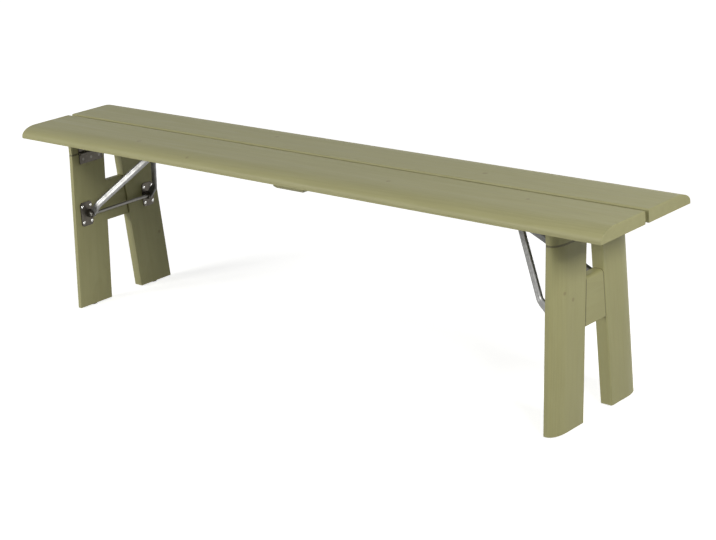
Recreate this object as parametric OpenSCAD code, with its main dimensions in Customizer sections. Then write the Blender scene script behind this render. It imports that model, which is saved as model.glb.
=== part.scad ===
// Folding bench: two seat planks on two hinged leg frames, each held open by a steel brace.
// +X runs along the bench, +Y to the back, +Z up. The origin is on the floor under the centre.
// The right-hand end is modelled, and the left-hand end is its mirror image.

/* [Seat] */
// Overall length of the seat
seat_len = 1700; // [1500:10:2000]
// Overall depth of the seat, front edge to back edge
seat_depth = 310; // [300:2:340]
// Height of the seat top above the floor
seat_height = 450; // [440:5:480]
// Thickness of each plank
plank_t = 27; // [26:1:34]
// Gap between the two planks
plank_gap = 12; // [8:1:14]
// How far the rounding reaches in from a plank's outer edge
plank_round_in = 48; // [30:1:52]
// How far the rounding drops at a plank's outer edge
plank_round_deep = 22; // [12:1:23]
// Easing of the other top edges
plank_ease = 3; // [1:0.5:4]

/* [Leg boards] */
// Distance from the end of the seat to the outer face of a leg
leg_inset = 120; // [90:5:160]
// Thickness of a leg board
leg_t = 27; // [26:1:34]
// Width of a leg board
leg_w = 100; // [96:1:104]
// Gap between the inner edges of the two boards at the floor
foot_gap = 101; // [97:1:110]
// Lean of each board out of the upright, in degrees
leg_splay = 3.9; // [3:0.1:4.4]
// How far the rounding reaches in from a board's outer edge
leg_round_in = 40; // [20:1:44]
// How far the rounding drops at a board's outer edge
leg_round_deep = 20; // [8:1:22]
// Easing of a board's inner edge on its outer face
leg_ease = 2; // [1:0.5:4]

/* [Cross boards] */
// Width of a cross board, measured upright
cross_w = 100; // [80:2:110]
// Thickness of a cross board
cross_t = 22; // [18:1:24]
// Height of its lower edge above the floor
cross_low = 203; // [190:1:212]
// How far its outer face lies behind the outer face of the legs
cross_setback = 1; // [0.5:0.5:3]
// Rounding of its upper outer edge
cross_round = 7; // [3:1:9]
// Radius of the dowels that hold it
dowel_r = 4; // [3:0.5:5]
// Length of a dowel
dowel_len = 52; // [40:2:56]
// Distance of the dowels from the cross board's upper and lower edges
dowel_edge = 24; // [18:1:28]

/* [Glides] */
// Radius of the glide under each leg board
glide_r = 10; // [8:1:12]
// Thickness of a glide
glide_t = 4; // [3:0.5:6]
// Radius of the pin that holds a glide
glide_pin_r = 1.5; // [1:0.25:2]
// Length of that pin inside the wood
glide_pin_len = 18; // [12:1:25]

/* [Cleats] */
// Height of an end cleat, between the seat and the legs
cleat_t = 34; // [30:1:37]
// Length of an end cleat across the seat
cleat_len = 248; // [244:2:260]
// Width of the middle batten along the seat
batten_w = 90; // [70:2:110]
// Height of the middle batten
batten_t = 30; // [20:1:32]
// Length of the middle batten across the seat
batten_len = 196; // [180:2:240]
// Chamfer round the lower face of the middle batten
batten_ease = 5; // [2:1:8]

/* [Hinges] */
// Width of each hinge
hinge_w = 72; // [66:1:76]
// Distance of each hinge's middle from the middle of the bench
hinge_y = 68; // [64:1:70]
// Height of one hinge leaf
leaf_h = 26; // [24:1:27]
// Thickness of the leaves
leaf_t = 2.5; // [2:0.25:3]
// Outer radius of the knuckles
knuckle_r = 4.5; // [4:0.25:5]
// Radius of the hinge pin
hinge_pin_r = 2.5; // [2:0.25:3]
// Distance from the pin's axis to the screws of a leaf
leaf_screw_drop = 15; // [13:0.5:17]
// Spacing of the three screws of a leaf
leaf_screw_pitch = 25; // [20:1:27]

/* [Braces] */
// Radius of the rod that a brace turns on
rod_r = 4; // [3:0.5:5]
// How far that rod reaches past the middle of each arm
rod_overhang = 26; // [20:1:34]
// Distance of the rod below the hinge axis
rod_drop = 152; // [147:1:157]
// Height of the two arms' flat steel
arm_h = 18; // [14:1:19]
// Thickness of that steel
arm_t = 4; // [3:0.5:5]
// Distance between the middles of the two arms at the rod
arm_gauge = 186; // [180:2:190]
// Length of an arm from the rod to its first bend
arm_straight = 37; // [32:1:46]
// Length of an arm from its second bend to the apex pin
arm_tail = 39; // [30:1:60]
// Radius of the bends in an arm
arm_bend_r = 20; // [12:1:30]
// Distance between the middles of the two arms at the apex
apex_gauge = 16; // [12:1:22]
// Radius of the pin that joins the arms at the apex
apex_pin_r = 4; // [3:0.5:5]
// Radius of the pin's two heads
apex_head_r = 6.5; // [6:0.5:7.5]
// Thickness of the pin's two heads
apex_head_t = 2.5; // [2:0.25:3.5]
// Radius of the tube that keeps the arms apart at the apex
apex_tube_r = 7; // [6:0.5:8]
// Distance from the leg's inner face to the apex pin's axis
apex_reach = 171; // [166:1:176]
// Distance of the apex pin's axis below the seat
apex_drop = 21; // [20:0.5:22]

/* [Rod brackets] */
// Distance of each bracket's middle from the middle of the bench
bracket_y = 100.5; // [98:0.5:102]
// Width of a bracket
bracket_w = 36; // [34:1:40]
// Height of a bracket
bracket_h = 60; // [54:1:68]
// Thickness of its back plate and its two cheeks
bracket_t = 2.5; // [2:0.25:3]
// Radius of a cheek round the rod
cheek_r = 8.5; // [7.5:0.5:9]
// Gap between an arm and each cheek
cheek_gap = 1; // [0.5:0.25:1.5]
// Gap between an arm's round end and the back plate
plate_gap = 2.5; // [2.5:0.5:4]
// Cut across each corner of the back plate
bracket_cut = 5; // [2:1:6]
// Distance of the screws to each side of the bracket's middle
bracket_screw_y = 12.5; // [11:0.5:13.5]
// Distance of the screws above and below the rod
bracket_screw_z = 20; // [16:1:22]

/* [Catches] */
// Length of a catch along the bench
catch_len = 30; // [24:1:40]
// Width of its crown, which the apex rests under
catch_w = 38; // [30:2:44]
// Thickness of the catch's steel
catch_t = 2.5; // [2:0.25:3]
// Width of each flange of the catch
catch_flange = 20; // [18:1:24]
// How far the crown reaches past the apex pin's axis, towards the middle
catch_lead = 4; // [2:0.5:6]
// Spacing of the two screws in a flange
catch_screw_pitch = 15; // [12:1:18]
// Width of the leaf spring that holds the apex
spring_w = 36; // [32:2:40]
// Thickness of the leaf spring
spring_t = 1.5; // [1:0.25:2]
// Length of the leaf's foot, which is screwed to the seat
spring_foot = 28; // [24:1:34]
// Length of the leaf from its foot to its hook
spring_reach = 78; // [60:2:90]
// Height of the hook at the leaf's free end
spring_hook = 9; // [7:0.5:11]

/* [Screws] */
// Radius of a screw's shank
screw_r = 2; // [1.5:0.25:2.25]
// Radius of a screw's head
screw_head_r = 3.4; // [3:0.1:3.6]
// Height of a screw's head
screw_head_h = 1.9; // [1.5:0.1:2.1]
// Length of the cross-shaped recess in a screw's head
recess_len = 3; // [2.4:0.1:3]
// Width of that recess
recess_w = 0.8; // [0.5:0.1:1]
// Depth of that recess
recess_deep = 1.1; // [0.8:0.1:1.3]
// Length of a screw's pointed end
screw_tip = 4; // [3:0.5:5]
// Length of the hinge, bracket and catch screws in the wood
short_screw = 17; // [14:1:19]
// Length of the screws that hold the cleats and the batten
long_screw = 45; // [40:1:46]

/* [Clearances] */
// Radial gap between a pin, rod or screw and its hole
run_gap = 0.05; // [0.03:0.01:0.1]
// Gap between parts that rest against each other or move past each other
rest_gap = 0.3; // [0.2:0.1:0.5]
// Overrun of every cut
over = 2; // [1:0.5:3]

/* [Hidden] */
$fn = 48;
// Steps in a rounded wooden edge
round_steps = 10;
ease_steps = 4;
bend_steps = 8;
end_steps = 16;
knuckles = 5;
// Share of the shank radius left at a screw's point
point_share = 0.15;
olive = [0.60, 0.59, 0.43];
bare_wood = [0.80, 0.66, 0.45];
zinc = [0.72, 0.73, 0.75];
dark_steel = [0.45, 0.46, 0.48];
black = [0.12, 0.12, 0.12];

// Heights
seat_under = seat_height - plank_t;
axis_z = seat_under - cleat_t;
rod_z = axis_z - rod_drop;
apex_z = seat_under - apex_drop;
// Places along the bench, at its right-hand end
leg_out = seat_len / 2 - leg_inset;
leg_in = leg_out - leg_t;
leg_mid = leg_in + leg_t / 2;
axis_x = leg_in - knuckle_r - rest_gap;
rod_off = bracket_t + plate_gap + arm_h / 2;
rod_x = leg_in - rod_off;
apex_x = leg_in - apex_reach;
// Slope of the brace in the upright plane, and its length from rod to apex
brace_rise = atan2(apex_z - rod_z, rod_x - apex_x);
brace_len = norm([apex_z - rod_z, rod_x - apex_x]);
// The two bends in an arm, as places along the brace, and the angle between them
arm_y = arm_gauge / 2;
apex_y = apex_gauge / 2;
tail_start = brace_len - arm_tail;
arm_turn = atan2(arm_y - apex_y, tail_start - arm_straight);
rod_len = arm_gauge + 2 * rod_overhang;
apex_tube_len = apex_gauge - arm_t;
// The inside of a bracket, which an arm turns in
cheek_in = arm_t / 2 + cheek_gap;
// Height of the crown's lower face, which the arms' round ends rest under
crown_z = apex_z + arm_h / 2 + rest_gap;
hook_x = apex_x - arm_h / 2 - rest_gap;
foot_x = hook_x - spring_reach - spring_foot;
spring_low_z = apex_z - spring_hook / 2;
// The cross board, from its own edges
cross_top = cross_low + cross_w;
cross_out = leg_out - cross_setback;
cross_in = cross_out - cross_t;
cross_mid = cross_out - cross_t / 2;
dowel_heights = [cross_low + dowel_edge, cross_top - dowel_edge];
foot_mid_y = foot_gap / 2 + leg_w / 2;

// Half the gap between the two leg boards at height z
function inner_y(z) = foot_gap / 2 - z * tan(leg_splay);

// The rounded corner of a board, from its flat edge up to its face, for an edge at 0 and a face at 0
function rounding(reach, deep) =
    [for (i = [0 : round_steps])
        let (a = 90 * i / round_steps) [-reach * (1 - cos(a)), -deep * (1 - sin(a))]];

// An eased corner, from the end at 0 up to the face at 0
function easing(r) =
    [for (i = [0 : ease_steps])
        let (a = 90 * i / ease_steps) [-r * (1 - cos(a)), -r * (1 - sin(a))]];

function moved(points, x, y) = [for (p = points) [p[0] + x, p[1] + y]];
function flipped(points) = [for (i = [len(points) - 1 : -1 : 0]) [-points[i][0], points[i][1]]];

// One side of a bent strip: each corner of the path is moved square to both of its neighbours by d
function unit(v) = v / norm(v);
function left_of(v) = [-v[1], v[0]];
function strip_side(path, d) = [
    for (i = [0 : len(path) - 1])
        let (
            before = unit(i == 0 ? path[1] - path[0] : path[i] - path[i - 1]),
            after = unit(i == len(path) - 1 ? path[i] - path[i - 1] : path[i + 1] - path[i]),
            across = unit(left_of(before) + left_of(after))
        )
        path[i] + across * d / (across * left_of(before))
];
function reversed(points) = [for (i = [len(points) - 1 : -1 : 0]) points[i]];

// An arc of radius r that rounds the corner of a path, from its direction there to the next one
function bend(corner, from, to, r) =
    let (
        turn = to - from,
        side = turn > 0 ? 1 : -1,
        start = corner - r * tan(abs(turn) / 2) * [cos(from), sin(from)],
        centre = start + side * r * [-sin(from), cos(from)]
    )
    [for (i = [0 : bend_steps])
        let (a = from + turn * i / bend_steps) centre + side * r * [sin(a), -cos(a)]];

// A half circle of radius r round a centre, from one angle on
function half_circle(centre, r, from) =
    [for (i = [0 : end_steps]) let (a = from + 180 * i / end_steps) centre + r * [cos(a), sin(a)]];

// Places

module at_side(left) {
    if (left) mirror([1, 0, 0]) children();
    else children();
}

module at_back(front) {
    if (front) mirror([0, 1, 0]) children();
    else children();
}

module both_halves() {
    for (front = [true, false]) at_back(front) children();
}

// Extrudes a profile drawn in Y and Z along the bench, from x0 to x1
module along_x(x0, x1) {
    translate([x0, 0, 0]) rotate([90, 0, 90]) linear_extrude(x1 - x0) children();
}

// Extrudes a profile drawn in X and Z across the bench, from y0 to y1
module along_y(y0, y1) {
    translate([0, y1, 0]) rotate([90, 0, 0]) linear_extrude(y1 - y0) children();
}

// Turns a piece made along +Z so that it points along +X
module towards_x() {
    rotate([0, 90, 0]) children();
}

// Puts a piece drawn flat into the sloping plane of the brace, with the rod at its origin
module in_brace() {
    translate([rod_x, 0, rod_z]) rotate([0, brace_rise - 180, 0]) children();
}

// Screws and their holes, made along +Z from the face that they go into

module shank_below(head, length) {
    translate([0, 0, head]) cylinder(r = screw_r, h = length - screw_tip - head);
    translate([0, 0, length - screw_tip]) cylinder(r1 = screw_r, r2 = screw_r * point_share, h = screw_tip);
}

module recess() {
    for (turn = [0, 90])
        rotate([0, 0, turn]) translate([-recess_len / 2, -recess_w / 2, -over])
            cube([recess_len, recess_w, recess_deep + over]);
}

module flat_screw(length) {
    difference() {
        cylinder(r1 = screw_head_r, r2 = screw_r, h = screw_head_h);
        recess();
    }
    shank_below(screw_head_h, length);
}

module pan_screw(length) {
    difference() {
        union() {
            translate([0, 0, -screw_head_h / 2]) cylinder(r = screw_head_r, h = screw_head_h / 2);
            translate([0, 0, -screw_head_h])
                cylinder(r1 = screw_head_r / 2, r2 = screw_head_r, h = screw_head_h / 2);
        }
        translate([0, 0, -screw_head_h]) recess();
    }
    shank_below(0, length);
}

module screw_hole(length) {
    translate([0, 0, -over]) cylinder(r = screw_r + run_gap, h = length + over + rest_gap);
}

module flat_screw_hole(length) {
    screw_hole(length);
    cylinder(r1 = screw_head_r + run_gap, r2 = screw_r + run_gap, h = screw_head_h);
    translate([0, 0, -over]) cylinder(r = screw_head_r + run_gap, h = over);
}

// The three screw places of a hinge leaf, above or below the hinge axis
module leaf_screw_places(up) {
    for (k = [-1 : 1])
        translate([leg_in - leaf_t, hinge_y + k * leaf_screw_pitch, axis_z + up * leaf_screw_drop])
            towards_x() children();
}

// The four screw places of a rod bracket
module bracket_screw_places() {
    for (j = [-1, 1], k = [-1, 1])
        translate([leg_in - bracket_t, bracket_y + j * bracket_screw_y, rod_z + k * bracket_screw_z])
            towards_x() children();
}

// The screw places of an end cleat: two in each plank, from below, clear of the hinge's own screws
module cleat_screw_places() {
    for (side = [-1, 1])
        translate([leg_mid, hinge_y + leaf_screw_pitch / 2 + side * leaf_screw_pitch, axis_z]) children();
}

// The screw places of the middle batten in its back half: two on a slant
batten_screw_shares = [[-0.28, 0.34], [0.28, 0.76]];
module batten_screw_places() {
    for (share = batten_screw_shares)
        translate([share[0] * batten_w, share[1] * batten_len / 2, seat_under - batten_t]) children();
}

// The screw places of a catch: two in each flange, and two in the spring's foot
module catch_screw_places() {
    for (k = [-1, 1])
        translate([
            apex_x - catch_lead + catch_len / 2 + k * catch_screw_pitch / 2,
            catch_w / 2 + catch_flange / 2,
            seat_under - catch_t
        ]) children();
}

module spring_screw_places() {
    translate([foot_x + spring_foot / 2, spring_w / 3, seat_under - spring_t]) children();
}

// Seat

// Section of the back plank, in Y and Z
module plank_section() {
    inner = plank_gap / 2;
    outer = seat_depth / 2;
    polygon(concat(
        [[inner, seat_under], [outer, seat_under]],
        moved(rounding(plank_round_in, plank_round_deep), outer, seat_height),
        moved(flipped(easing(plank_ease)), inner, seat_height)
    ));
}

// Side view of a plank, in X and Z, with its end edges eased
module plank_side() {
    end = seat_len / 2;
    polygon(concat(
        [[-end, seat_under - over], [end, seat_under - over]],
        moved(easing(plank_ease), end, seat_height),
        moved(flipped(easing(plank_ease)), -end, seat_height)
    ));
}

module plank(front) {
    color(olive) at_back(front) difference() {
        intersection() {
            along_x(-seat_len / 2, seat_len / 2) plank_section();
            along_y(0, seat_depth) plank_side();
        }
        for (left = [true, false]) at_side(left) {
            cleat_screw_places() screw_hole(long_screw);
            catch_screw_places() screw_hole(short_screw + catch_t);
            spring_screw_places() screw_hole(short_screw + spring_t);
        }
        // The batten's screws lie on a slant, so the two planks see them turned end for end
        mirror([front ? 1 : 0, 0, 0]) batten_screw_places() screw_hole(long_screw);
    }
}

// Plan of an end cleat, whose ends are rounded like the leg boards below it
module cleat_plan() {
    corner = rounding(leg_round_in, leg_round_deep);
    half = cleat_len / 2;
    turned = [for (p = corner) [p[1], p[0]]];
    polygon(concat(
        [[leg_in, -half], [leg_in, half]],
        moved(turned, leg_out, half),
        [for (p = reversed(turned)) [p[0] + leg_out, -half - p[1]]]
    ));
}

module end_cleat(left) {
    color(olive) at_side(left) difference() {
        translate([0, 0, axis_z]) linear_extrude(cleat_t) cleat_plan();
        both_halves() {
            cleat_screw_places() flat_screw_hole(long_screw);
            leaf_screw_places(1) screw_hole(short_screw);
        }
    }
}

// A view of the middle batten from one side, with its lower edges chamfered
module batten_view(length) {
    half = length / 2;
    low = seat_under - batten_t;
    polygon([
        [-half, seat_under], [-half, low + batten_ease], [-half + batten_ease, low],
        [half - batten_ease, low], [half, low + batten_ease], [half, seat_under]
    ]);
}

module middle_batten() {
    color(olive) difference() {
        intersection() {
            along_x(-batten_w / 2, batten_w / 2) batten_view(batten_len);
            along_y(-batten_len / 2, batten_len / 2) batten_view(batten_w);
        }
        for (turn = [0, 180]) rotate([0, 0, turn]) batten_screw_places() flat_screw_hole(long_screw);
    }
}

module cleat_screws() {
    color(zinc) {
        for (left = [true, false]) at_side(left) both_halves() cleat_screw_places() flat_screw(long_screw);
        for (turn = [0, 180]) rotate([0, 0, turn]) batten_screw_places() flat_screw(long_screw);
    }
}

// Hinges

// Marks out every second knuckle of a hinge, from the first or from the second
module knuckle_places(first) {
    pitch = hinge_w / knuckles;
    for (i = [first : 2 : knuckles - 1])
        translate([axis_x, hinge_y - hinge_w / 2 + i * pitch, axis_z]) children();
}

module knuckle() {
    translate([0, hinge_w / knuckles - rest_gap / 2, 0]) rotate([90, 0, 0])
        cylinder(r = knuckle_r, h = hinge_w / knuckles - rest_gap);
}

// The room that the other leaf's knuckle turns in
module knuckle_room() {
    reach = knuckle_r + rest_gap;
    translate([-reach, -rest_gap / 2, -reach])
        cube([reach + reach + over, hinge_w / knuckles + rest_gap, reach + reach]);
}

// A leaf goes up from the axis on the cleat, or down from it on the leg
module hinge_leaf(up) {
    first = up > 0 ? 0 : 1;
    difference() {
        union() {
            difference() {
                translate([leg_in - leaf_t, hinge_y - hinge_w / 2, up > 0 ? axis_z : axis_z - leaf_h])
                    cube([leaf_t, hinge_w, leaf_h]);
                knuckle_places(1 - first) knuckle_room();
            }
            knuckle_places(first) knuckle();
        }
        translate([axis_x, hinge_y + hinge_w / 2 + over, axis_z]) rotate([90, 0, 0])
            cylinder(r = hinge_pin_r + run_gap, h = hinge_w + over + over);
        leaf_screw_places(up) flat_screw_hole(short_screw);
    }
}

module hinge_leaves(left, up) {
    color(zinc) at_side(left) both_halves() hinge_leaf(up);
}

module hinge_screws(left, up) {
    color(zinc) at_side(left) both_halves() leaf_screw_places(up) flat_screw(short_screw);
}

module hinge_pins(left) {
    color(zinc) at_side(left) both_halves()
        translate([axis_x, hinge_y + hinge_w / 2, axis_z]) rotate([90, 0, 0])
            cylinder(r = hinge_pin_r, h = hinge_w);
}

// Leg frames

// Section of a leg board, in X and Y, with its inner edge at Y = 0
module leg_section() {
    turned = [for (p = rounding(leg_round_in, leg_round_deep)) [p[1], p[0]]];
    polygon(concat(
        [[leg_in, 0], [leg_in, leg_w]],
        moved(turned, leg_out, leg_w),
        [[leg_out, leg_ease], [leg_out - leg_ease, 0]]
    ));
}

module leg(left, front) {
    color(olive) at_side(left) at_back(front) difference() {
        intersection() {
            translate([0, foot_gap / 2, 0]) rotate([leg_splay, 0, 0])
                translate([0, 0, -leg_w]) linear_extrude(seat_height + leg_w) leg_section();
            translate([leg_in - over, 0, glide_t])
                cube([leg_t + over + over, seat_depth, axis_z - rest_gap - glide_t]);
        }
        leaf_screw_places(-1) screw_hole(short_screw);
        bracket_screw_places() screw_hole(short_screw + bracket_t);
        dowel_places() dowel_hole();
        glide_place() cylinder(r = glide_pin_r + run_gap, h = glide_t + glide_pin_len + rest_gap);
    }
}

// The two dowels between the cross board and the back leg board, pointing to the back
module dowel_places() {
    for (z = dowel_heights)
        translate([cross_mid, inner_y(z) - dowel_len / 2, z]) rotate([-90, 0, 0]) children();
}

module dowel_hole() {
    translate([0, 0, -rest_gap]) cylinder(r = dowel_r + run_gap, h = dowel_len + rest_gap + rest_gap);
}

module dowels(left) {
    color(bare_wood) at_side(left) both_halves() dowel_places() cylinder(r = dowel_r, h = dowel_len);
}

// Front view of a cross board, whose ends follow the leaning legs
module cross_view() {
    polygon([
        [-inner_y(cross_low), cross_low], [inner_y(cross_low), cross_low],
        [inner_y(cross_top), cross_top], [-inner_y(cross_top), cross_top]
    ]);
}

// Section of a cross board, in X and Z, with its upper outer edge rounded
module cross_section() {
    polygon(concat(
        [[cross_in, cross_low], [cross_out, cross_low]],
        moved(easing(cross_round), cross_out, cross_top),
        [[cross_in, cross_top]]
    ));
}

module cross_board(left) {
    color(olive) at_side(left) difference() {
        intersection() {
            along_x(cross_in, cross_out) cross_view();
            along_y(-foot_gap / 2, foot_gap / 2) cross_section();
        }
        both_halves() dowel_places() dowel_hole();
    }
}

module glide_place() {
    translate([leg_mid, foot_mid_y, 0]) children();
}

module glides(left) {
    color(black) at_side(left) both_halves() glide_place() {
        translate([0, 0, glide_t / 3]) cylinder(r = glide_r, h = glide_t - glide_t / 3);
        cylinder(r1 = glide_r - glide_t / 3, r2 = glide_r, h = glide_t / 3);
        cylinder(r = glide_pin_r, h = glide_t + glide_pin_len);
    }
}

// Rod brackets

// Back plate of a bracket, in Y and Z
module bracket_plate() {
    w = bracket_w / 2;
    h = bracket_h / 2;
    c = bracket_cut;
    translate([bracket_y, rod_z])
        polygon([
            [-w, c - h], [c - w, -h], [w - c, -h], [w, c - h],
            [w, h - c], [w - c, h], [c - w, h], [-w, h - c]
        ]);
}

// One cheek of a bracket, from y0 to y0 + bracket_t
module cheek(y0) {
    translate([rod_x, y0, rod_z - cheek_r]) cube([rod_off - bracket_t / 2, bracket_t, cheek_r + cheek_r]);
    translate([rod_x, y0 + bracket_t, rod_z]) rotate([90, 0, 0]) cylinder(r = cheek_r, h = bracket_t);
}

module bracket(left, front) {
    color(zinc) at_side(left) at_back(front) difference() {
        union() {
            along_x(leg_in - bracket_t, leg_in) bracket_plate();
            intersection() {
                union() {
                    cheek(arm_y - cheek_in - bracket_t);
                    cheek(arm_y + cheek_in);
                }
                translate([rod_x - cheek_r - over, 0, rod_z - bracket_h / 2])
                    cube([cheek_r + over + rod_off - bracket_t / 2, seat_depth, bracket_h]);
            }
        }
        translate([rod_x, seat_depth, rod_z]) rotate([90, 0, 0])
            cylinder(r = rod_r + run_gap, h = seat_depth);
        bracket_screw_places() screw_hole(short_screw);
    }
}

module bracket_screws(left) {
    color(zinc) at_side(left) both_halves() bracket_screw_places() pan_screw(short_screw);
}

// Braces

module brace_rod(left) {
    color(zinc) at_side(left) in_brace() translate([0, rod_len / 2, 0]) rotate([90, 0, 0])
        cylinder(r = rod_r, h = rod_len);
}

// The back arm's path, drawn flat: along its bracket, in towards the middle, and on beside its twin
function arm_path() = concat(
    [[-arm_h, arm_y]],
    bend([arm_straight, arm_y], 0, -arm_turn, arm_bend_r),
    bend([tail_start, apex_y], -arm_turn, 0, arm_bend_r),
    [[brace_len + arm_h, apex_y]]
);

// Side view of an arm, in its length and height, with a round end about the rod and about the apex pin
module arm_view() {
    r = arm_h / 2;
    polygon(concat(half_circle([0, 0], r, 90), half_circle([brace_len, 0], r, -90)));
}

module arm(left, front) {
    path = arm_path();
    color(zinc) at_side(left) at_back(front) in_brace() difference() {
        intersection() {
            translate([0, 0, -arm_h]) linear_extrude(arm_h + arm_h)
                polygon(concat(strip_side(path, arm_t / 2), reversed(strip_side(path, -arm_t / 2))));
            along_y(0, arm_gauge) arm_view();
        }
        translate([0, arm_gauge, 0]) rotate([90, 0, 0]) cylinder(r = rod_r + run_gap, h = arm_gauge);
        translate([brace_len, apex_gauge, 0]) rotate([90, 0, 0])
            cylinder(r = apex_pin_r + run_gap, h = apex_gauge);
    }
}

// Puts a round piece of a given length across the brace at its apex, centred between the arms
module across_apex(length) {
    in_brace() translate([brace_len, length / 2, 0]) rotate([90, 0, 0]) children();
}

module apex_tube(left) {
    color(zinc) at_side(left) across_apex(apex_tube_len) difference() {
        cylinder(r = apex_tube_r, h = apex_tube_len);
        translate([0, 0, -over]) cylinder(r = apex_pin_r + run_gap, h = apex_tube_len + over + over);
    }
}

module apex_pin(left) {
    length = apex_gauge + arm_t + 2 * apex_head_t;
    color(zinc) at_side(left) across_apex(length) {
        cylinder(r = apex_head_r, h = apex_head_t);
        cylinder(r = apex_pin_r, h = length);
        translate([0, 0, length - apex_head_t]) cylinder(r = apex_head_r, h = apex_head_t);
    }
}

// Catches

// The catch's bent strip, in Y and Z: a flange, the crown, and a flange
module catch_profile() {
    crown = catch_w / 2;
    high = seat_under;
    low = crown_z;
    path = [
        [-crown - catch_flange, high], [-crown, high], [-crown, low], [crown, low],
        [crown, high], [crown + catch_flange, high]
    ];
    polygon(concat(catch_outer(path), reversed(catch_inner(path))));
}
// The flanges lie against the seat, and the crown stands off it, so the strip is offset from its own path
function catch_outer(path) = strip_side([
    path[0] - [0, catch_t / 2], path[1] - [0, catch_t / 2] + [catch_t / 2, 0],
    path[2] + [catch_t / 2, catch_t / 2], path[3] + [-catch_t / 2, catch_t / 2],
    path[4] - [0, catch_t / 2] - [catch_t / 2, 0], path[5] - [0, catch_t / 2]
], catch_t / 2);
function catch_inner(path) = strip_side([
    path[0] - [0, catch_t / 2], path[1] - [0, catch_t / 2] + [catch_t / 2, 0],
    path[2] + [catch_t / 2, catch_t / 2], path[3] + [-catch_t / 2, catch_t / 2],
    path[4] - [0, catch_t / 2] - [catch_t / 2, 0], path[5] - [0, catch_t / 2]
], -catch_t / 2);

module catch(left) {
    x0 = apex_x - catch_lead;
    color(zinc) at_side(left) difference() {
        along_x(x0, x0 + catch_len) catch_profile();
        both_halves() catch_screw_places() screw_hole(short_screw);
    }
}

// The leaf's path, in X and Z: its foot against the seat, its slope, and its hook beside the apex
function spring_path() = [
    [foot_x, seat_under - spring_t / 2],
    [foot_x + spring_foot, seat_under - spring_t / 2],
    [hook_x - spring_hook / 3, spring_low_z],
    [hook_x - spring_t / 2, spring_low_z + spring_hook]
];

module catch_spring(left) {
    path = spring_path();
    color(dark_steel) at_side(left) difference() {
        along_y(-spring_w / 2, spring_w / 2)
            polygon(concat(strip_side(path, spring_t / 2), reversed(strip_side(path, -spring_t / 2))));
        both_halves() spring_screw_places() screw_hole(short_screw);
    }
}

module catch_screws(left) {
    color(zinc) at_side(left) both_halves() {
        catch_screw_places() pan_screw(short_screw);
        spring_screw_places() pan_screw(short_screw);
    }
}

plank(true);  // front_plank
plank(false);  // back_plank
end_cleat(true);  // left_end_cleat
end_cleat(false);  // right_end_cleat
middle_batten();
cleat_screws();
hinge_leaves(true, 1);  // left_upper_hinge_leaves
hinge_leaves(false, 1);  // right_upper_hinge_leaves
hinge_pins(true);  // left_hinge_pins
hinge_pins(false);  // right_hinge_pins
hinge_screws(true, 1);  // left_upper_hinge_screws
hinge_screws(false, 1);  // right_upper_hinge_screws
catch(true);  // left_catch
catch(false);  // right_catch
catch_spring(true);  // left_catch_spring
catch_spring(false);  // right_catch_spring
catch_screws(true);  // left_catch_screws
catch_screws(false);  // right_catch_screws
leg(true, true);  // left_front_leg
leg(true, false);  // left_back_leg
cross_board(true);  // left_cross_board
dowels(true);  // left_dowels
hinge_leaves(true, -1);  // left_lower_hinge_leaves
hinge_screws(true, -1);  // left_lower_hinge_screws
bracket(true, true);  // left_front_bracket
bracket(true, false);  // left_back_bracket
bracket_screws(true);  // left_bracket_screws
glides(true);  // left_glides
leg(false, true);  // right_front_leg
leg(false, false);  // right_back_leg
cross_board(false);  // right_cross_board
dowels(false);  // right_dowels
hinge_leaves(false, -1);  // right_lower_hinge_leaves
hinge_screws(false, -1);  // right_lower_hinge_screws
bracket(false, true);  // right_front_bracket
bracket(false, false);  // right_back_bracket
bracket_screws(false);  // right_bracket_screws
glides(false);  // right_glides
brace_rod(true);  // left_brace_rod
arm(true, true);  // left_front_arm
arm(true, false);  // left_back_arm
apex_tube(true);  // left_apex_tube
apex_pin(true);  // left_apex_pin
brace_rod(false);  // right_brace_rod
arm(false, true);  // right_front_arm
arm(false, false);  // right_back_arm
apex_tube(false);  // right_apex_tube
apex_pin(false);  // right_apex_pin
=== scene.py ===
"""Folding bench: looks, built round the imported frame.

Metres and linear colours, with +X along the seat, +Y to the back plank and +Z up.
"""

import math

import bmesh
import bpy
from mathutils import Matrix, Vector

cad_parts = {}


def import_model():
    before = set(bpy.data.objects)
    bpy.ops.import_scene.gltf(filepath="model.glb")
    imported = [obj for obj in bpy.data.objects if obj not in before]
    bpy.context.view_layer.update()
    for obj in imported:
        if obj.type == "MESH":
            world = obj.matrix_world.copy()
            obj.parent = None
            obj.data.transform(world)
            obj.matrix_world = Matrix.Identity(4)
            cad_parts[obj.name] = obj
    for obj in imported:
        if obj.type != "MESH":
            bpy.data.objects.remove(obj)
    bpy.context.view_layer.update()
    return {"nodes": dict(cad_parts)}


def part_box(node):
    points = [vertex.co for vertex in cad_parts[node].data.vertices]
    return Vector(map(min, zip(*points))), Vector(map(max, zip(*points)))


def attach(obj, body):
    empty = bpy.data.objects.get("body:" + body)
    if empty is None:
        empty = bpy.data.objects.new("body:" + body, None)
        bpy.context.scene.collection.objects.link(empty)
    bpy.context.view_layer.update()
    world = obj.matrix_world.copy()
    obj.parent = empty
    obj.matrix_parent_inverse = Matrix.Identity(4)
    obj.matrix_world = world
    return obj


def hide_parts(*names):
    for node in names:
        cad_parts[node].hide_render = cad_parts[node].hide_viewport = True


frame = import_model()
nodes = frame["nodes"]

SIDES = ("left", "right")
ENDS = ("front", "back")

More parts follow.
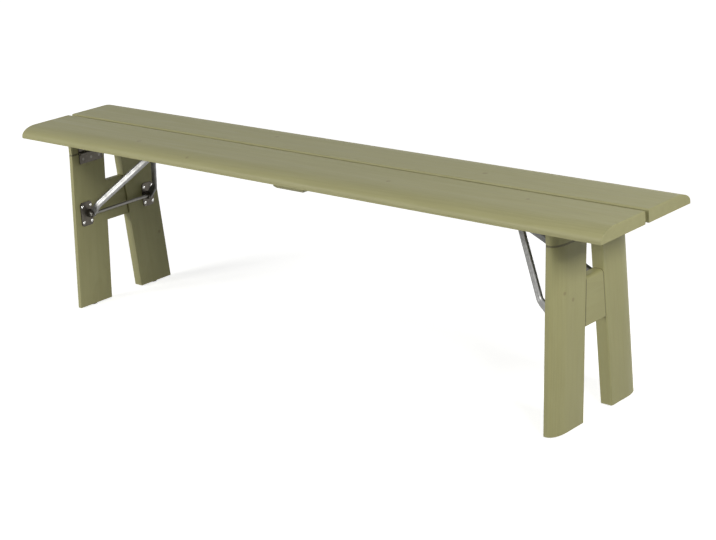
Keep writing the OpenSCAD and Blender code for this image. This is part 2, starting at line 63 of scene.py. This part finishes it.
# Camera, as solved from the photograph
PHOTO_WIDTH = 716
FOCAL_PIXELS = 1714.6
SENSOR_WIDTH = 36.0
CAMERA_AZIMUTH = math.radians(42.69)
CAMERA_ELEVATION = math.radians(18.34)
CAMERA_ROLL = math.radians(-3.76)
CAMERA_DISTANCE = 3.8467
TARGET_HEIGHT = 0.230
TARGET_RIGHT = 0.0738
TARGET_UP = -0.0495
CLIP_START = 0.05
CLIP_END = 100.0

# Colours
STAIN = (0.335, 0.322, 0.150)
STAIN_DEEP = (0.265, 0.250, 0.105)
STAIN_PALE = (0.375, 0.362, 0.190)
STAIN_KNOT = (0.200, 0.165, 0.075)
# Painted shade in the joints between boards, where shade falls
JOINT_SHADE = (0.085, 0.074, 0.030)
BEECH = (0.58, 0.40, 0.22)
BEECH_DEEP = (0.44, 0.27, 0.13)
GALVANISED = (0.245, 0.245, 0.24)
# A darker copy of the galvanised tube, as painted shade on the back arms
GALVANISED_SHADED = (0.150, 0.150, 0.145)
# The zinc plates, darkened past bare zinc as painted shade
ZINC_PLATE_SHADED = (0.105, 0.095, 0.080)
ZINC_SCREW = (0.74, 0.74, 0.72)
# A darker copy of the screws' zinc, as painted shade on the hinge screws
SHADED_SCREW = (0.20, 0.19, 0.17)
ROD_STEEL = (0.20, 0.195, 0.18)
BLUED = (0.10, 0.11, 0.14)
NYLON = (0.022, 0.022, 0.023)
WHITE = (1.0, 1.0, 1.0)
WARM_LAMP = (1.0, 0.99, 0.97)
COOL_LAMP = (0.98, 0.99, 1.0)
SKY_FILL = (0.96, 0.98, 1.0)

# The floor shows white. Its own glow grows from FLOOR_GLOW near the bench to 1 far off.
FLOOR_SIZE = 60.0
FLOOR_SEEN = (0.80, 0.80, 0.79)
FLOOR_BOUNCE = (0.36, 0.36, 0.35)
FLOOR_GLOW = 0.75
FLOOR_NEAR = 1.6
FLOOR_FAR = 4.5
FLOOR_ROUGHNESS = 0.9
WORLD_FILL = 0.03
LAMP_DISTANCE = 3.6
BACK_LAMP_DISTANCE = 6.0
LAMP_AIM_HEIGHT = 0.3

# The boards
LEG_SPLAY = math.radians(3.9)
SANDED_RADIUS = 0.0012
CROSS_BOARD_RADIUS = 0.0022
BEVEL_STEPS = 3
EDGE_ANGLE = math.radians(30.0)
WELD_REACH = 0.00002
FLAT_ANGLE = math.radians(0.5)

# Turns that bring each board's length to X
TURN_ALONG_X = (0.0, 0.0, 0.0)
TURN_ALONG_Y = (0.0, 0.0, -math.pi / 2)

# Growth rings: their spacing, how far they wander, and their drift for each metre of board
RING_SPACING = 0.0032
RING_WANDER = 0.030
RING_DRIFT = 0.006

# In multiples of a knot's size: how far it bends the rings, how much it swells them, and the outer
# and inner radius of its core
KNOT_REACH = 4.0
KNOT_SWELL = 1.6
KNOT_RIM = 1.1
KNOT_CORE = 0.55
# How dark a knot's core is
KNOT_DARKNESS = 0.55

# Each knot's place along the board and across it, and its size
PLANK_KNOTS = {
    "front": (
        (-0.47, -0.105, 0.007),
        (-0.27, -0.140, 0.0045),
        (0.28, -0.085, 0.006),
        (0.61, -0.05, 0.005),
    ),
    "back": ((-0.20, 0.08, 0.006), (0.42, 0.06, 0.007)),
}
LEG_KNOTS = {
    ("right", "front"): ((0.284, -0.122, 0.0045), (0.266, -0.095, 0.0050)),
    ("left", "back"): ((0.120, 0.135, 0.0050),),
}

# Stretches of the wood's patterns, which run far along the grain
RING_STRETCH = (0.9, 5.0, 5.0)
CLOUD_STRETCH = (1.5, 5.0, 5.0)
STREAK_STRETCH = (1.1, 9.0, 9.0)
BRUSH_STRETCH = (2.0, 90.0, 90.0)
FIBRE_STRETCH = (6.0, 420.0, 420.0)
FLECK_STRETCH = (40.0, 500.0, 500.0)
STREAK_SCALE = 7.0
BEECH_CLOUD_SCALE = 30.0

# What one step of a board's seed adds to the scale of a pattern
RING_SEED_STEP = 0.01
CLOUD_SEED_STEP = 0.02
STREAK_SEED_STEP = 0.1

# How much each pattern raises the wood's surface, and how much late wood lowers its roughness
LATE_RELIEF = 0.5
PORE_RELIEF = -0.6
BRUSH_RELIEF = 0.35
LATE_ROUGHNESS = -0.05

# Patterns of the zinc: their scales, their darker and lighter shades, and their relief
CRYSTAL_SCALE = 260.0
PATCH_SCALE = 38.0
PORE_SCALE = 900.0
SCRATCH_STRETCH = (60.0, 900.0, 900.0)
CRYSTAL_DARK = 0.80
CRYSTAL_LIGHT = 1.12
PATCH_DARK = 0.55
SCRATCH_RELIEF = 0.3
FINE_RELIEF = 0.4
PATCH_RELIEF = 0.8

# Patterns of the plastic
GRAIN_SCALE = 1400.0
SCUFF_SCALE = 60.0
SCUFF_STRETCH = (1.0, 6.0, 1.0)
SCUFF_LIGHT = 2.4

# How far the painted shade reaches from a joint, how far it is darkest, and how dark it is
SHADE_REACH = 0.0030
SHADE_CORE = 0.0010
SHADE_SHARE = 0.85

# The arms' tube: its straight ends up to the bends' corners, its bends and its sections
ARM_STRAIGHT = 0.037
ARM_TAIL = 0.039
ARM_BEND = 0.020
ARM_HEIGHT = 0.018
ARM_FLAT = 0.004
ARM_WIDE = 0.0088
ARM_PRESSED = 0.017
ARM_OPENING = 0.017
ARM_DENT = 0.0009
ARM_DENT_SHARE = 0.22
# Powers of the section's curve where the tube is flat and where it is open: 2 makes an ellipse
FLAT_POWER = 7.0
OPEN_POWER = 2.4
ARM_SIDES = 32
ARM_STEP = 0.004
END_STEPS = 8
BEND_STEPS = 7

# The rod: how far a bracket's outer cheek lies inside the edge of its plate, with a running gap
CHEEK_INSET = 0.0198
ROD_SIDES = 32
SHARP_ANGLE = math.radians(40.0)
# The rivet heads' outline: the distance outside the cheek, and the radius as a share of the rod's
RIVET_OUTLINE = (
    (0.0, 1.0),
    (0.0, 1.42),
    (0.0007, 1.5),
    (0.0016, 1.40),
    (0.0023, 1.1),
    (0.0027, 0.6),
)


class Shader:
    """A material with its node tree, and short ways to add nodes to it."""

    def __init__(self, name):
        self.material = bpy.data.materials.new(name)
        self.material.use_nodes = True
        self.tree = self.material.node_tree
        self.surface = self.tree.nodes["Principled BSDF"]

    def add(self, kind, settings=None, **inputs):
        node = self.tree.nodes.new("ShaderNode" + kind)
        for key, value in (settings or {}).items():
            setattr(node, key, value)
        for key, value in inputs.items():
            self.put(node.inputs[key.replace("_", " ")], value)
        return node

    def put(self, socket, value):
        if isinstance(value, bpy.types.NodeSocket):
            self.tree.links.new(value, socket)
        elif socket.type == "RGBA":
            socket.default_value = (*value, 1.0)
        else:
            socket.default_value = value

    def math(self, operation, a, b=0.0):
        node = self.add("Math", {"operation": operation})
        self.put(node.inputs[0], a)
        self.put(node.inputs[1], b)
        return node.outputs[0]

    def total(self, first, *others):
        for other in others:
            first = self.math("ADD", first, other)
        return first

    def times(self, value, factor):
        return self.math("MULTIPLY", value, factor)

    def split(self, vector):
        return self.add("SeparateXYZ", Vector=vector).outputs

    def length(self, vector):
        node = self.add("VectorMath", {"operation": "LENGTH"})
        self.put(node.inputs[0], vector)
        return node.outputs["Value"]

    def object_place(self):
        return self.add("TexCoord").outputs["Object"]

    def place(self, rotation=(0, 0, 0), offset=(0, 0, 0)):
        """Places on the piece, turned so that its length runs along X, and moved by offset."""
        turned_place = self.add("Mapping", Vector=self.object_place(), Rotation=rotation)
        return self.add("Mapping", Vector=turned_place.outputs[0], Location=offset).outputs[0]

    def stretched(self, place, scale):
        return self.add("Mapping", Vector=place, Scale=scale).outputs[0]

    def noise(self, vector, scale=1.0, detail=3.0, roughness=0.5):
        inputs = {"Scale": scale, "Detail": detail, "Roughness": roughness}
        return self.add("TexNoise", Vector=vector, **inputs).outputs["Fac"]

    def ramp(self, value, over, to=(0.0, 1.0), smooth=False):
        """The value's range "over" brought to the range "to", and held at its ends."""
        settings = {"interpolation_type": "SMOOTHSTEP" if smooth else "LINEAR"}
        inputs = {"From_Min": over[0], "From_Max": over[1], "To_Min": to[0], "To_Max": to[1]}
        return self.add("MapRange", settings, Value=value, **inputs).outputs["Result"]

    def mix(self, share, a, b):
        node = self.add("Mix", {"data_type": "RGBA"})
        for socket, value in ((node.inputs[0], share), (node.inputs[6], a), (node.inputs[7], b)):
            self.put(socket, value)
        return node.outputs[2]

    def finish(self, colour, roughness, height, bump, depth, **constants):
        """Joins the patterns to the surface. The bump is a share, and its depth is in metres."""
        self.put(self.surface.inputs["Base Color"], colour)
        self.put(self.surface.inputs["Roughness"], roughness)
        normal = self.add("Bump", Height=height, Strength=bump, Distance=depth)
        self.put(self.surface.inputs["Normal"], normal.outputs[0])
        for key, value in constants.items():
            self.surface.inputs[key].default_value = value
        return self.material


# Wood
def knot_patterns(s, place, pith, knots):
    """How much each knot swells the rings, and how near each place is to a knot's core."""
    x, y = s.split(place)[:2]
    swells = []
    shade = 0.0
    for knot_x, knot_y, size in knots:
        offset_x = s.math("SUBTRACT", x, knot_x)
        offset_y = s.math("SUBTRACT", y, knot_y - pith[0])
        distance = s.length(s.add("CombineXYZ", X=offset_x, Y=offset_y).outputs[0])
        near = s.ramp(distance, over=(size * KNOT_REACH, 0.0), smooth=True)
        swells.append(s.times(near, size * KNOT_SWELL))
        core = s.ramp(distance, over=(size * KNOT_RIM, size * KNOT_CORE), smooth=True)
        shade = s.math("MAXIMUM", core, shade)
    return swells, shade


def late_wood(s, place, seed, swells):
    """The dark late wood of rings round the pith, which wander slowly and bend round the knots."""
    x, y, z = s.split(place)
    radius = s.math("SQRT", s.total(s.times(y, y), s.times(z, z)))
    wander_scale = 1.0 + RING_SEED_STEP * seed
    wander = s.noise(s.stretched(place, RING_STRETCH), scale=wander_scale, detail=2.0)
    radius = s.total(radius, s.times(wander, RING_WANDER), s.times(x, RING_DRIFT), *swells)
    ring = s.math("FRACT", s.math("DIVIDE", radius, RING_SPACING))
    late = s.ramp(ring, over=(0.35, 0.95), smooth=True)
    return s.times(late, s.ramp(ring, over=(1.0, 0.95)))


def stained_wood(name, rotation, pith, seed, knots=(), painted_shade=None):
    """Pine under a semi-opaque stain.

    Once the piece is turned by the rotation, its grain runs along X, round a pith at (y, z).
    """
    s = Shader(name)
    place = s.place(rotation, (0.0, -pith[0], -pith[1]))
    swells, knot_shade = knot_patterns(s, place, pith, knots)
    late = late_wood(s, place, seed, swells)
    # Fine pores, streaks, clouds and the brush's strokes along the grain
    fibre = s.noise(s.stretched(place, FIBRE_STRETCH), detail=2.0)
    streak_scale = STREAK_SCALE + STREAK_SEED_STEP * seed
    streak = s.noise(s.stretched(place, STREAK_STRETCH), streak_scale, detail=4.0, roughness=0.6)
    cloud = s.noise(s.stretched(place, CLOUD_STRETCH), scale=1.0 + CLOUD_SEED_STEP * seed)
    brushed = s.noise(s.stretched(place, BRUSH_STRETCH), roughness=0.6)
    deep = s.total(
        s.times(late, s.ramp(cloud, over=(0.3, 0.7), to=(0.10, 0.34))),
        s.ramp(streak, over=(0.35, 0.75), to=(0.0, 0.30)),
        s.ramp(fibre, over=(0.55, 0.80), to=(0.0, 0.25)),
    )
    thin = s.ramp(cloud, over=(0.35, 0.70), to=(0.0, 0.45))
    thin = s.total(thin, s.ramp(brushed, over=(0.5, 0.8), to=(0.0, 0.3)))
    colour = s.mix(thin, STAIN, STAIN_PALE)
    colour = s.mix(deep, colour, STAIN_DEEP)
    if knots:
        colour = s.mix(s.times(knot_shade, KNOT_DARKNESS), colour, STAIN_KNOT)
    # Painted shade darkens the wood along its joints
    if painted_shade:
        colour = s.mix(painted_shade(s), colour, JOINT_SHADE)
    roughness = s.ramp(brushed, over=(0.3, 0.7), to=(0.50, 0.62))
    roughness = s.total(roughness, s.times(late, LATE_ROUGHNESS))
    height = s.total(s.times(late, LATE_RELIEF), s.times(fibre, PORE_RELIEF))
    height = s.total(height, s.times(brushed, BRUSH_RELIEF))
    return s.finish(colour, roughness, height, bump=0.28, depth=0.0004, IOR=1.5)


def leg_joint_shade(s):
    """Painted shade along the joint of a leg's top and its cleat, but not on the faces that meet
    there.
    """
    joint_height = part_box("left_end_cleat")[0].z
    source = s.add("TexCoord")
    z = s.split(source.outputs["Object"])[2]
    upward = s.math("ABSOLUTE", s.split(source.outputs["Normal"])[2])
    away = s.math("ABSOLUTE", s.math("SUBTRACT", z, joint_height))
    near = s.ramp(away, over=(SHADE_REACH, SHADE_CORE), to=(0.0, SHADE_SHARE), smooth=True)
    return s.times(near, s.ramp(upward, over=(0.95, 0.70)))


def board_joint_shade(side):
    """Painted shade in the joints of a cross board's slanting ends and the legs."""
    low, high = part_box(f"{side}_cross_board")
    slant = math.tan(LEG_SPLAY)
    end = high.y + low.z * slant

    def painted_shade(s):
        y, z = s.split(s.object_place())[1:]
        reach = s.total(s.math("ABSOLUTE", y), s.times(z, slant))
        over = (end - SHADE_REACH, end - SHADE_CORE)
        return s.ramp(reach, over, to=(0.0, SHADE_SHARE), smooth=True)

    return painted_shade


def bare_wood(name):
    """Beech with short flecks."""
    s = Shader(name)
    place = s.place((0.0, 0.0, math.pi / 2))
    flecks = s.noise(s.stretched(place, FLECK_STRETCH), detail=2.0)
    cloud = s.noise(place, scale=BEECH_CLOUD_SCALE)
    colour = s.mix(s.ramp(flecks, over=(0.4, 0.7), to=(0.0, 0.8)), BEECH, BEECH_DEEP)
    roughness = s.ramp(cloud, over=(0.3, 0.7), to=(0.55, 0.7))
    return s.finish(colour, roughness, flecks, bump=0.2, depth=0.0002)


# Metal and plastic
def shaded(colour, factor):
    return tuple(min(1.0, c * factor) for c in colour)


def metal(name, colour, roughness, spangle, grime, wave=0.0004):
    """Steel with a zinc skin: crystals, fine scratches and dull patches."""
    s = Shader(name)
    place = s.place()
    crystals = s.add("TexVoronoi", {"feature": "F1"}, Vector=place, Scale=CRYSTAL_SCALE)
    shade = s.add("SeparateColor", Color=crystals.outputs["Color"]).outputs[0]
    patches = s.noise(place, scale=PATCH_SCALE, detail=4.0, roughness=0.6)
    scratches = s.noise(s.stretched(place, SCRATCH_STRETCH), detail=2.0, roughness=0.6)
    fine = s.noise(place, scale=PORE_SCALE, detail=2.0)
    crystal_share = s.ramp(shade, over=(0.0, 1.0), to=(0.5 - spangle, 0.5 + spangle))
    mixed = s.mix(crystal_share, shaded(colour, CRYSTAL_DARK), shaded(colour, CRYSTAL_LIGHT))
    dull_share = s.ramp(patches, over=(0.45, 0.75), to=(0.0, grime))
    mixed = s.mix(dull_share, mixed, shaded(colour, PATCH_DARK))
    smoothest = roughness - 0.5 * spangle * roughness
    rough = s.ramp(shade, over=(0.0, 1.0), to=(smoothest, roughness))
    rough = s.total(rough, s.ramp(patches, over=(0.4, 0.7), to=(0.0, 0.16)))
    height = s.total(s.times(scratches, SCRATCH_RELIEF), s.times(fine, FINE_RELIEF))
    height = s.total(height, s.times(patches, PATCH_RELIEF))
    return s.finish(mixed, rough, height, bump=0.25, depth=wave, Metallic=1.0)


def plastic(name, colour):
    """Moulded plastic, scuffed paler."""
    s = Shader(name)
    place = s.place()
    grain = s.noise(place, scale=GRAIN_SCALE, detail=2.0)
    scuffs = s.noise(s.stretched(place, SCUFF_STRETCH), SCUFF_SCALE, detail=4.0, roughness=0.6)
    scuff_share = s.ramp(scuffs, over=(0.55, 0.75), to=(0.0, 0.6))
    mixed = s.mix(scuff_share, colour, shaded(colour, SCUFF_LIGHT))
    roughness = s.ramp(scuffs, over=(0.3, 0.7), to=(0.5, 0.65))
    return s.finish(mixed, roughness, grain, bump=0.2, depth=0.0002)


# New pieces
def centre(node):
    low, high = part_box(node)
    return (low + high) / 2


def loft(name, rings, material):
    """A closed piece through rings of points, with smooth sides."""
    count = len(rings[0])
    points = [tuple(point) for ring in rings for point in ring]
    last = len(points) - count
    faces = []
    for start in range(0, last, count):
        for k in range(count):
            a = start + k
            b = start + (k + 1) % count
            faces.append((a, b, b + count, a + count))
    faces.append(tuple(reversed(range(count))))
    faces.append(tuple(range(last, len(points))))
    mesh = bpy.data.meshes.new(name)
    mesh.from_pydata(points, [], faces)
    made = bmesh.new()
    made.from_mesh(mesh)
    bmesh.ops.recalc_face_normals(made, faces=made.faces)
    made.to_mesh(mesh)
    made.free()
    mesh.polygons.foreach_set("use_smooth", [True] * len(mesh.polygons))
    mesh.materials.append(material)
    piece = bpy.data.objects.new(name, mesh)
    bpy.context.scene.collection.objects.link(piece)
    return piece


def spaced(start, end, step):
    """Numbers from start to end, at about the given step."""
    count = max(1, round((end - start) / step))
    return [start + (end - start) * i / count for i in range(count + 1)]


def arm_stations(length, wide, narrow):
    """Stations along an arm, from round end to round end.

    Each is a place on its middle line in the brace's plane, as the distance from the rod and from
    the bench's middle, with the turn from the brace's direction there and the share of the arm's
    height.
    """
    turn = math.atan2(wide - narrow, length - ARM_TAIL - ARM_STRAIGHT)
    cut = ARM_BEND * math.tan(turn / 2)
    slant = Vector((math.cos(turn), -math.sin(turn)))
    first = Vector((ARM_STRAIGHT, wide))
    second = Vector((length - ARM_TAIL, narrow))
    found = [(Vector((s, wide)), 0.0) for s in spaced(0.0, ARM_STRAIGHT - cut, ARM_STEP)]
    middle = first + Vector((-cut, -ARM_BEND))
    for i in range(1, BEND_STEPS + 1):
        a = turn * i / BEND_STEPS
        found.append((middle + ARM_BEND * Vector((math.sin(a), math.cos(a))), a))
    run = (second - first).length - 2 * cut
    found += [(first + slant * (cut + s), turn) for s in spaced(0.0, run, ARM_STEP)[1:]]
    middle = second - slant * cut + ARM_BEND * Vector((math.sin(turn), math.cos(turn)))
    for i in range(1, BEND_STEPS + 1):
        a = turn * (1 - i / BEND_STEPS)
        found.append((middle - ARM_BEND * Vector((math.sin(a), math.cos(a))), a))
    found += [(Vector((s, narrow)), 0.0) for s in spaced(second.x + cut, length, ARM_STEP)[1:]]
    # The round ends
    angles = [math.pi / 2 * (i + 0.5) / END_STEPS for i in range(END_STEPS)]
    r = ARM_HEIGHT / 2
    low = [(Vector((-r * math.cos(a), wide)), 0.0, math.sin(a)) for a in angles]
    angles.reverse()
    high = [(Vector((length + r * math.cos(a), narrow)), 0.0, math.sin(a)) for a in angles]
    return low + [(place, a, 1.0) for place, a in found] + high


def smooth_step(x):
    x = min(1.0, max(0.0, x))
    return x * x * (3 - 2 * x)


def arm_section(opened, height_share):
    """The section's corners, across and up: a flat bar with round edges or a dented oval."""
    half = ARM_HEIGHT / 2 * height_share
    across = (ARM_FLAT + (ARM_WIDE - ARM_FLAT) * opened) / 2
    power = 2 / (FLAT_POWER + (OPEN_POWER - FLAT_POWER) * opened)
    corners = []
    for k in range(ARM_SIDES):
        a = 2 * math.pi * (k + 0.5) / ARM_SIDES
        x = math.copysign(abs(math.cos(a)) ** power, math.cos(a)) * across
        z = math.copysign(abs(math.sin(a)) ** power, math.sin(a)) * half
        dent = ARM_DENT * opened * math.exp(-(z / (ARM_DENT_SHARE * half)) ** 2)
        corners.append((x - math.copysign(dent, x), z))
    return corners


def arm(side, end, material):
    """An arm of a brace: steel tube, pressed flat at both ends and bent twice."""
    start = centre(f"{side}_brace_rod")
    line = centre(f"{side}_apex_pin") - start
    length = line.length
    along = line.normalized()
    upright = along.cross(Vector((0, 1, 0)))
    outwards = Vector((0, 1.0 if end == "back" else -1.0, 0))
    inner, outer = sorted(abs(corner.y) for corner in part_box(f"{side}_{end}_arm"))
    stations = arm_stations(length, outer - ARM_FLAT / 2, inner + ARM_FLAT / 2)
    rings = []
    for place, turn, height_share in stations:
        from_end = min(place.x, length - place.x)
        opened = smooth_step((from_end - ARM_PRESSED) / ARM_OPENING)
        across = along * math.sin(turn) + outwards * math.cos(turn)
        middle = start + along * place.x + outwards * place.y
        section = arm_section(opened, height_share)
        rings.append([middle + across * x + upright * z for x, z in section])
    piece = loft(f"{side}_{end}_arm_tube", rings, material)
    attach(piece, f"{side}_brace")
    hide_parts(f"{side}_{end}_arm")


def turned(name, middle, half_outline, material):
    """A round piece along Y, symmetric about its middle.

    The outline of one half runs outwards, as pairs of a distance from the middle and a radius.
    """
    outline = [(-distance, radius) for distance, radius in reversed(half_outline)] + half_outline
    angles = [2 * math.pi * k / ROD_SIDES for k in range(ROD_SIDES)]
    rings = []
    for distance, radius in outline:
        around_y = [Vector((radius * math.cos(a), distance, radius * math.sin(a))) for a in angles]
        rings.append([middle + offset for offset in around_y])
    piece = loft(name, rings, material)
    split = piece.modifiers.new("sharp edges", "EDGE_SPLIT")
    split.split_angle = SHARP_ANGLE
    return piece


def rod(side, material):
    """The brace's rod, riveted over outside its brackets."""
    low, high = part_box(f"{side}_brace_rod")
    radius = (high.z - low.z) / 2
    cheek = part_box(f"{side}_back_bracket")[1].y - CHEEK_INSET
    outline = [(cheek + out, radius * share) for out, share in RIVET_OUTLINE]
    piece = turned(f"{side}_riveted_rod", (low + high) / 2, outline, material)
    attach(piece, f"{side}_brace")
    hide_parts(f"{side}_brace_rod")


# Materials and soft edges of the pieces that come from the frame
def give(node, material):
    mesh = nodes[node].data
    mesh.materials.clear()
    mesh.materials.append(material)


def soften(node, radius):
    """Rounds a wooden piece's sharp edges, as sanding and the stain's thickness do."""
    piece = nodes[node]
    weld = piece.modifiers.new("weld", "WELD")
    weld.merge_threshold = WELD_REACH
    flat = piece.modifiers.new("flat", "DECIMATE")
    flat.decimate_type = "DISSOLVE"
    flat.angle_limit = FLAT_ANGLE
    bevel = piece.modifiers.new("bevel", "BEVEL")
    bevel.width = radius
    bevel.segments = BEVEL_STEPS
    bevel.limit_method = "ANGLE"
    bevel.angle_limit = EDGE_ANGLE
    bevel.use_clamp_overlap = True


def board(node, grain, pith, seed, radius=SANDED_RADIUS, knots=(), painted_shade=None):
    """Stains and sands one wooden piece."""
    give(node, stained_wood("stain " + node.replace("_", " "), grain, pith, seed, knots, painted_shade))
    soften(node, radius)


def seat_boards():
    board("front_plank", TURN_ALONG_X, pith=(-0.085, 0.375), seed=1, knots=PLANK_KNOTS["front"])
    board("back_plank", TURN_ALONG_X, pith=(0.060, 0.360), seed=4, knots=PLANK_KNOTS["back"])
    board("middle_batten", TURN_ALONG_Y, pith=(0.05, 0.36), seed=17)


def leg_boards(side, number):
    """The boards of one pair of legs. The number tells the pairs' grain apart."""
    for end, outward in (("front", -1.0), ("back", 1.0)):
        grain = (-outward * LEG_SPLAY, math.pi / 2, 0.0)
        pith = (outward * 0.09, -0.10 + 0.05 * number)
        knots = LEG_KNOTS.get((side, end), ())
        # The legs and cleats get painted shade along the joint where they meet
        board(f"{side}_{end}_leg", grain, pith, seed=7 + number, knots=knots, painted_shade=leg_joint_shade)
    # The cross board gets painted shade where its ends meet the legs
    board(f"{side}_cross_board", TURN_ALONG_Y, pith=(0.70, 0.20), seed=11 + number,
          radius=CROSS_BOARD_RADIUS, painted_shade=board_joint_shade(side))
    board(f"{side}_end_cleat", TURN_ALONG_Y, pith=(0.70, 0.36), seed=14 + number,
          painted_shade=leg_joint_shade)
    give(f"{side}_dowels", bare_wood(f"beech {side}"))


def fittings():
    """The steel and plastic pieces of the whole bench."""
    tube = metal("galvanised tube", GALVANISED, 0.40, spangle=0.35, grime=0.25)
    # The back arms' copy of the tube is darker, as painted shade
    shaded_tube = metal("shaded galvanised tube", GALVANISED_SHADED, 0.45, spangle=0.30, grime=0.35)
    # The plates' zinc is darkened as painted shade
    plate = metal("shaded zinc plate", ZINC_PLATE_SHADED, 0.38, spangle=0.20, grime=0.4)
    rod_steel = metal("rod", ROD_STEEL, 0.32, spangle=0.2, grime=0.3)
    screw = metal("zinc screw", ZINC_SCREW, 0.24, spangle=0.1, grime=0.2, wave=0.0001)
    # The hinge screws' copy of the zinc is darker, as painted shade
    shaded_screw = metal("shaded screw", SHADED_SCREW, 0.34, spangle=0.1, grime=0.3, wave=0.0001)
    blued = metal("blued spring", BLUED, 0.34, spangle=0.1, grime=0.3)
    nylon = plastic("nylon glide", NYLON)
    plates = ("upper_hinge_leaves", "lower_hinge_leaves", "front_bracket", "back_bracket", "catch")
    wearers = (
        (tube, ("apex_tube", "apex_pin")),
        (plate, plates),
        (screw, ("hinge_pins", "bracket_screws", "catch_screws")),
        (shaded_screw, ("upper_hinge_screws", "lower_hinge_screws")),
        (blued, ("catch_spring",)),
        (nylon, ("glides",)),
    )
    give("cleat_screws", screw)
    for side in SIDES:
        for material, names in wearers:
            for name in names:
                give(f"{side}_{name}", material)
        rod(side, rod_steel)
        for end in ENDS:
            # The back arms wear the tube darkened by painted shade
            arm(side, end, tube if end == "front" else shaded_tube)


# Stage
def seen_rays(tree):
    """A socket that is 1 for rays that show the background: from the camera, a gloss or a glass."""
    path = tree.nodes.new("ShaderNodeLightPath")
    total = path.outputs["Is Camera Ray"]
    for kind in ("Is Glossy Ray", "Is Transmission Ray"):
        either = tree.nodes.new("ShaderNodeMath")
        either.operation = "MAXIMUM"
        tree.links.new(total, either.inputs[0])
        tree.links.new(path.outputs[kind], either.inputs[1])
        total = either.outputs[0]
    return total


def backdrop():
    """A white floor that keeps the bench's shadow, and throws less light up than it shows."""
    s = Shader("floor")
    seen = seen_rays(s.tree)
    s.put(s.surface.inputs["Base Color"], s.mix(seen, FLOOR_BOUNCE, FLOOR_SEEN))
    s.put(s.surface.inputs["Emission Color"], WHITE)
    distance = s.length(s.object_place())
    glow = s.ramp(distance, over=(FLOOR_NEAR, FLOOR_FAR), to=(FLOOR_GLOW, 1.0), smooth=True)
    s.put(s.surface.inputs["Emission Strength"], s.times(seen, glow))
    s.surface.inputs["Roughness"].default_value = FLOOR_ROUGHNESS
    s.surface.inputs["Specular IOR Level"].default_value = 0.0
    bpy.ops.mesh.primitive_plane_add(size=FLOOR_SIZE, location=(0, 0, 0))
    floor = bpy.context.object
    floor.name = "floor"
    floor.data.materials.append(s.material)


def around(azimuth, elevation):
    """The direction from the bench. Azimuth 0 is in front, 90 degrees at its right-hand end."""
    flat = math.cos(elevation)
    return Vector((math.sin(azimuth) * flat, -math.cos(azimuth) * flat, math.sin(elevation)))


def area_light(name, azimuth, elevation, size, power, colour, distance=LAMP_DISTANCE):
    """A soft box round the bench, at an azimuth and elevation in degrees."""
    direction = around(math.radians(azimuth), math.radians(elevation))
    data = bpy.data.lights.new(name, "AREA")
    data.shape = "RECTANGLE"
    data.size, data.size_y = size
    data.energy = power
    data.color = colour
    light = bpy.data.objects.new(name, data)
    light.location = Vector((0.0, 0.0, LAMP_AIM_HEIGHT)) + direction * distance
    light.rotation_mode = "QUATERNION"
    light.rotation_quaternion = direction.to_track_quat("Z", "Y")
    bpy.context.scene.collection.objects.link(light)


def lamps():
    area_light("front", -30.0, 18.0, (1.4, 1.2), power=74.0, colour=WARM_LAMP)
    area_light("right", 73.0, 29.0, (1.7, 0.9), power=80.0, colour=WARM_LAMP)
    area_light("behind", 181.0, 8.0, (2.4, 1.0), power=122.0, colour=COOL_LAMP,
               distance=BACK_LAMP_DISTANCE)
    area_light("left", 268.0, 8.0, (1.2, 0.8), power=11.0, colour=COOL_LAMP)


def world():
    """A faint fill of the shadows. The rays that show the background see white instead."""
    made = bpy.data.worlds.new("studio")
    bpy.context.scene.world = made
    made.use_nodes = True
    tree = made.node_tree
    fill = tree.nodes["Background"]
    white = tree.nodes.new("ShaderNodeBackground")
    for node, colour, strength in ((fill, SKY_FILL, WORLD_FILL), (white, WHITE, 1.0)):
        node.inputs["Color"].default_value = (*colour, 1.0)
        node.inputs["Strength"].default_value = strength
    mix = tree.nodes.new("ShaderNodeMixShader")
    tree.links.new(seen_rays(tree), mix.inputs[0])
    tree.links.new(fill.outputs[0], mix.inputs[1])
    tree.links.new(white.outputs[0], mix.inputs[2])
    tree.links.new(mix.outputs[0], tree.nodes["World Output"].inputs["Surface"])


def photo_camera():
    """The photograph's view."""
    back = around(CAMERA_AZIMUTH, CAMERA_ELEVATION)
    right = Vector((math.cos(CAMERA_AZIMUTH), math.sin(CAMERA_AZIMUTH), 0.0))
    up = back.cross(right)
    target = Vector((0, 0, TARGET_HEIGHT)) + right * TARGET_RIGHT + up * TARGET_UP
    rolled_right = right * math.cos(CAMERA_ROLL) + up * math.sin(CAMERA_ROLL)
    rolled_up = up * math.cos(CAMERA_ROLL) - right * math.sin(CAMERA_ROLL)
    data = bpy.data.cameras.new("camera")
    data.sensor_width = SENSOR_WIDTH
    data.lens = FOCAL_PIXELS * SENSOR_WIDTH / PHOTO_WIDTH
    data.clip_start = CLIP_START
    data.clip_end = CLIP_END
    camera = bpy.data.objects.new("camera", data)
    turn = Matrix((rolled_right, rolled_up, back)).transposed().to_4x4()
    camera.matrix_world = Matrix.Translation(target + back * CAMERA_DISTANCE) @ turn
    bpy.context.scene.collection.objects.link(camera)
    bpy.context.scene.camera = camera


seat_boards()
for number, side in enumerate(SIDES):
    leg_boards(side, number)
fittings()
backdrop()
world()
lamps()
photo_camera()
bpy.context.scene.view_settings.view_transform = "Standard"
